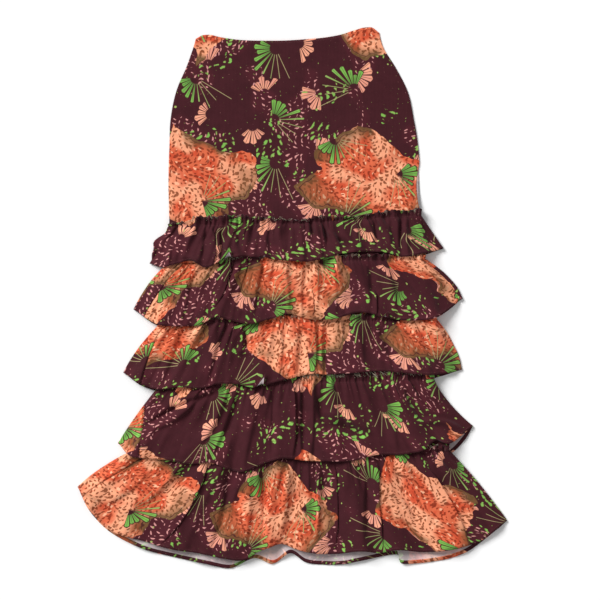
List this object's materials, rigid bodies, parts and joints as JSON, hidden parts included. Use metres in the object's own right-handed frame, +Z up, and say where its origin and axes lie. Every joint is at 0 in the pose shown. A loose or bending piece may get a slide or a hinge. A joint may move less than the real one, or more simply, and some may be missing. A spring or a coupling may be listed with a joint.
{
  "type": "tiered ruffle skirt",
  "caption": "Long fitted pull-on skirt with gathered ruffle tiers below the hip, in printed jersey, laid flat on its back.",
  "frame": {"origin": "the middle of the laid-out skirt's length and width, on the surface that it lies on", "axes": "+Y from the hem to the waist, +X to the right as seen from above, +Z up out of the skirt's front"},
  "size_m": [0.7512, 0.9481, 0.0321],
  "materials": {
    "aubergine_print": "matt fine viscose jersey, screen printed: aubergine ground with green leaves, peach flowers and coral patches, pale unprinted reverse",
    "coral_print": "the same printed jersey where its coral and peach speckled patches cover most of the piece"
  },
  "bodies": {
    "root": {"panel_front": "aubergine_print", "panel_back": "aubergine_print", "ruffle_1_front": "aubergine_print", "ruffle_1_back": "aubergine_print", "ruffle_2_front": "coral_print", "ruffle_2_back": "coral_print", "ruffle_3_front": "coral_print", "ruffle_3_back": "coral_print", "ruffle_4_front": "aubergine_print", "ruffle_4_back": "aubergine_print", "ruffle_5_front": "coral_print", "ruffle_5_back": "coral_print"}
  },
  "joints": []
}
